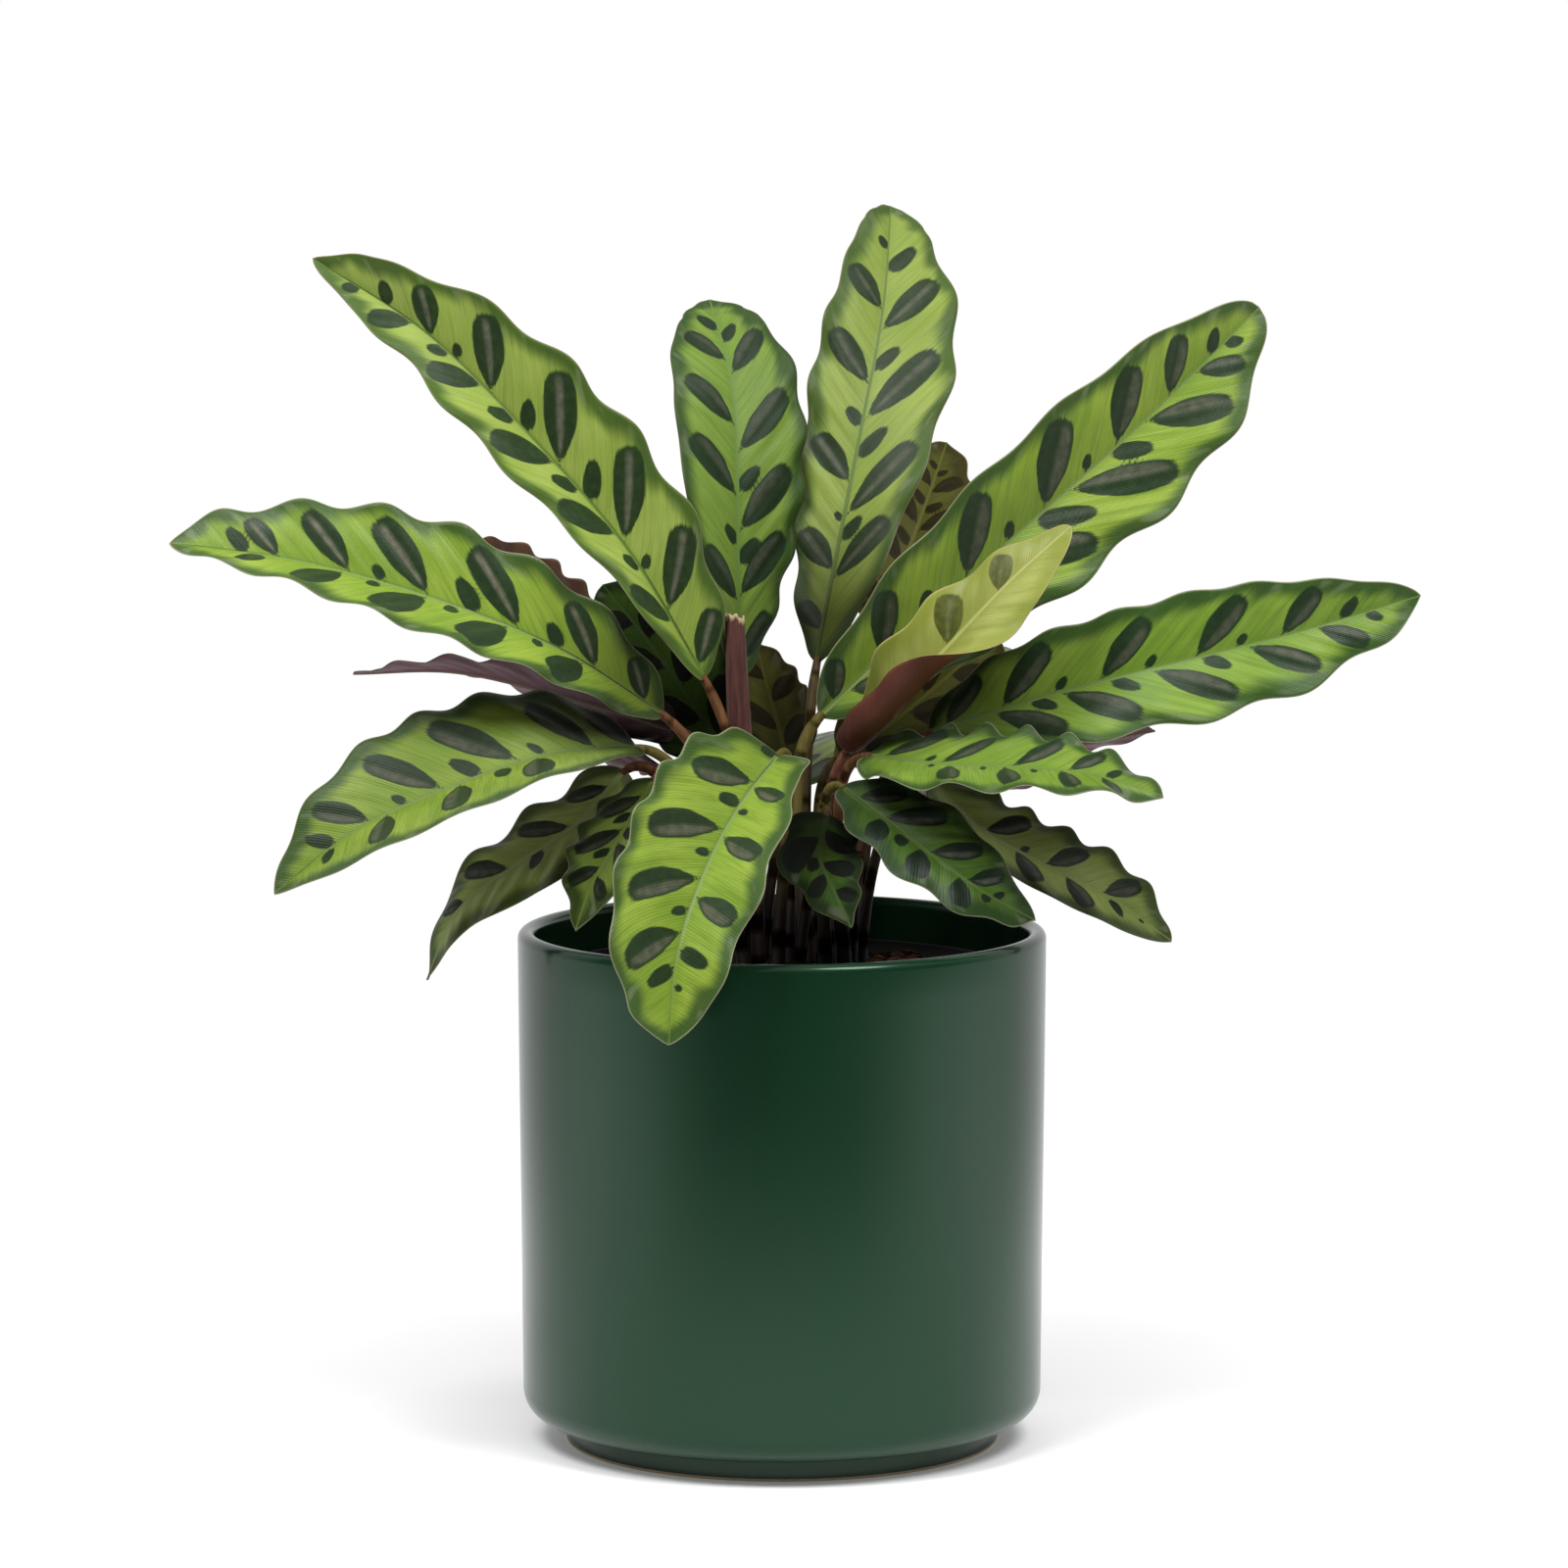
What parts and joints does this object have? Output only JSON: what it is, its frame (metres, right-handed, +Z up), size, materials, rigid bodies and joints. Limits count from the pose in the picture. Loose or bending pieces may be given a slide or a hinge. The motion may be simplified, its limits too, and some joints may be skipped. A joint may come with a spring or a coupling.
{
  "type": "potted rattlesnake plant",
  "caption": "Potted prayer plant with long wavy leaves marked with dark oval blotches, purple undersides and slim stems, growing in a nursery pot inside a green glazed cylinder planter.",
  "frame": {"origin": "centre of the planter's flat foot, on the surface it stands on", "axes": "+Z up along the planter's axis, -Y towards the side that the picture shows, +X to its right"},
  "size_m": [0.4193, 0.2696, 0.4185],
  "materials": {
    "glaze": "smooth dark green glaze with a soft satin gloss, inside and out",
    "nursery_plastic": "thin black nursery pot plastic, dull",
    "potting_mix": "moist dark compost with bark pieces",
    "leaf_blade": "thin satin blade, yellow-green with dark green and silver-brown blotches above, purple-maroon below",
    "young_blade": "half unrolled young blade, pale yellow-green above, wine red below",
    "leaf_stem": "slim fleshy stem, olive green to reddish brown, satin",
    "stem_sheath": "maroon leaf sheath with a dry pale brown top edge"
  },
  "bodies": {
    "root": {"leaf_upper_left": "leaf_blade", "stem_upper_left": "leaf_stem", "leaf_left": "leaf_blade", "stem_left": "leaf_stem", "leaf_left_back": "leaf_blade", "stem_left_back": "leaf_stem", "leaf_lower_left": "leaf_blade", "stem_lower_left": "leaf_stem", "leaf_low_left": "leaf_blade", "stem_low_left": "leaf_stem", "leaf_low_left_small": "leaf_blade", "stem_low_left_small": "leaf_stem", "leaf_front": "leaf_blade", "stem_front": "leaf_stem", "leaf_centre_small": "leaf_blade", "stem_centre_small": "leaf_stem", "leaf_low_right": "leaf_blade", "stem_low_right": "leaf_stem", "leaf_low_right_back": "leaf_blade", "stem_low_right_back": "leaf_stem", "leaf_right_curly": "leaf_blade", "stem_right_curly": "leaf_stem", "leaf_right": "leaf_blade", "stem_right": "leaf_stem", "leaf_upper_right": "leaf_blade", "stem_upper_right": "leaf_stem", "leaf_young": "young_blade", "stem_young": "leaf_stem", "leaf_top_right": "leaf_blade", "stem_top_right": "leaf_stem", "leaf_top_left": "leaf_blade", "stem_top_left": "leaf_stem", "leaf_back_top": "leaf_blade", "stem_back_top": "leaf_stem", "leaf_back_left_up": "leaf_blade", "stem_back_left_up": "leaf_stem", "leaf_back_centre": "leaf_blade", "stem_back_centre": "leaf_stem", "leaf_back_left_dark": "leaf_blade", "stem_back_left_dark": "leaf_stem", "leaf_back_right_dark": "leaf_blade", "stem_back_right_dark": "leaf_stem", "leaf_back_right": "leaf_blade", "stem_back_right": "leaf_stem", "leaf_back_right_low": "leaf_blade", "stem_back_right_low": "leaf_stem", "leaf_back_left_low": "leaf_blade", "stem_back_left_low": "leaf_stem", "leaf_rear_left": "leaf_blade", "stem_rear_left": "leaf_stem", "leaf_rear": "leaf_blade", "stem_rear": "leaf_stem", "leaf_rear_right": "leaf_blade", "stem_rear_right": "leaf_stem", "stem_sheath": "stem_sheath", "planter": "glaze", "grow_pot": "nursery_plastic", "potting_soil": "potting_mix"}
  },
  "joints": []
}
